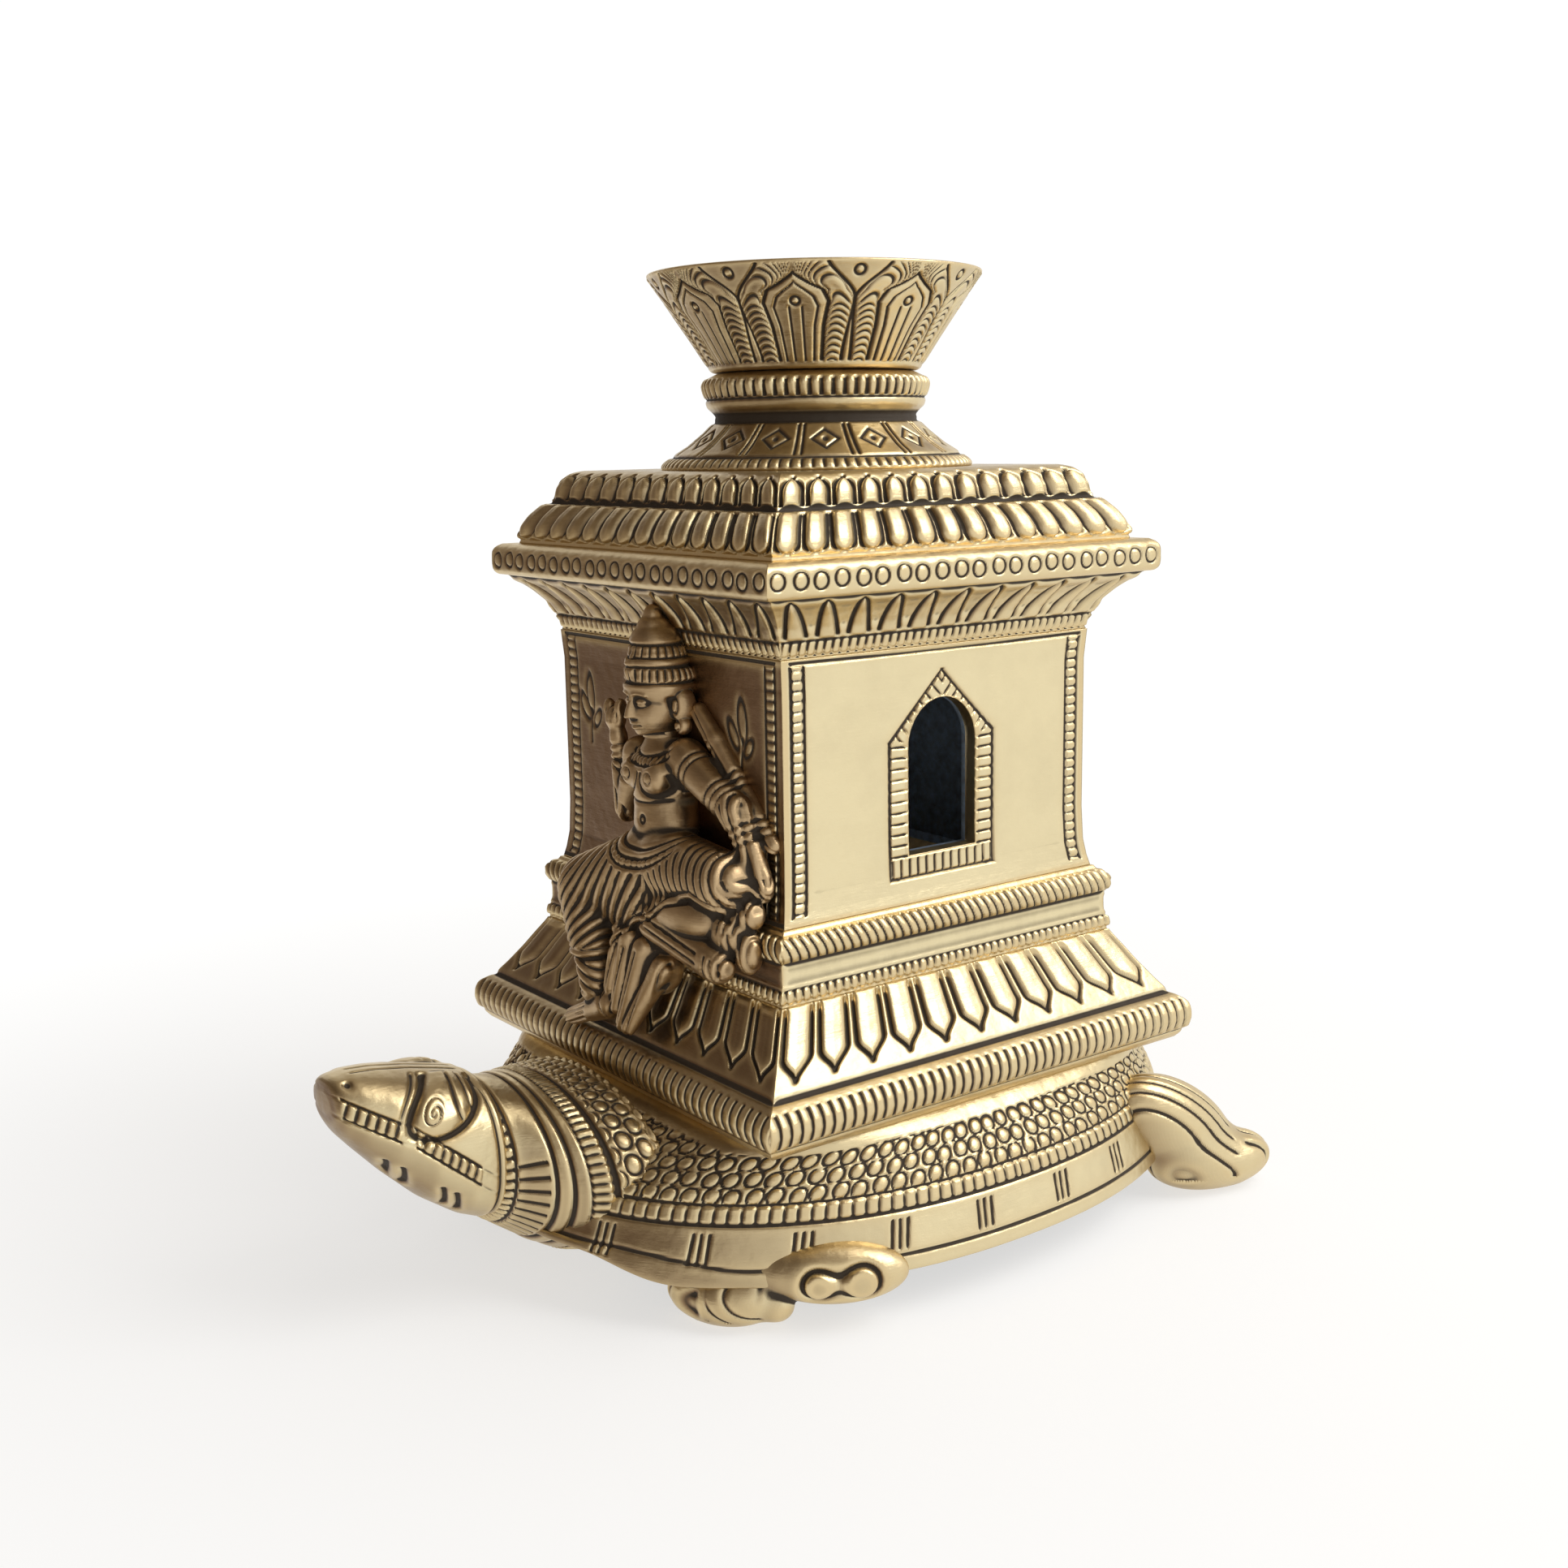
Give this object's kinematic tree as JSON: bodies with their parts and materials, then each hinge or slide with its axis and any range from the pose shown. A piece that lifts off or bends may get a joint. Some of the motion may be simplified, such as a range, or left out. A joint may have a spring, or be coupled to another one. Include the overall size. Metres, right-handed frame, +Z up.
{
  "type": "tortoise temple candle stand",
  "caption": "Brass tortoise candle stand: a small square shrine with arched side windows and a seated figure relief stands on its back and carries a lift-off lotus bowl.",
  "frame": {"origin": "on the floor, at the middle of the object's length and width", "axes": "+Z up; the tortoise looks along -Y; +X is on the right as seen from the tortoise's front, the side whose window the picture shows"},
  "size_m": [0.0984, 0.1444, 0.139],
  "materials": {
    "brass_antique": "antique, brushed high points",
    "brass_dark": "as cast, dark patina",
    "brass_plain": "turned, plain",
    "steel_rod": "plain, dull"
  },
  "bodies": {
    "stand": {"carapace": "brass_antique", "head": "brass_antique", "neck_collar": "brass_antique", "front_right_foot": "brass_antique", "front_left_foot": "brass_antique", "rear_right_foot": "brass_antique", "rear_left_foot": "brass_antique", "tail": "brass_antique", "plinth": "brass_antique", "base_moulding": "brass_antique", "front_panel": "brass_antique", "right_panel": "brass_antique", "rear_panel": "brass_antique", "left_panel": "brass_antique", "cornice": "brass_antique", "roof": "brass_antique", "lotus_foot": "brass_antique", "relief_figure": "brass_antique", "relief_pins": "brass_plain", "foot_nut": "brass_plain", "tie_rods": "steel_rod", "tie_rod_washers": "brass_plain", "tie_rod_nuts": "brass_plain"},
    "bowl": {"lotus_bowl": "brass_antique"}
  },
  "joints": [
    {"name": "bowl_lift", "type": "slide", "parent": "stand", "child": "bowl", "axis": [0, 0, 1], "range_m": [0, 0.0102]}
  ]
}
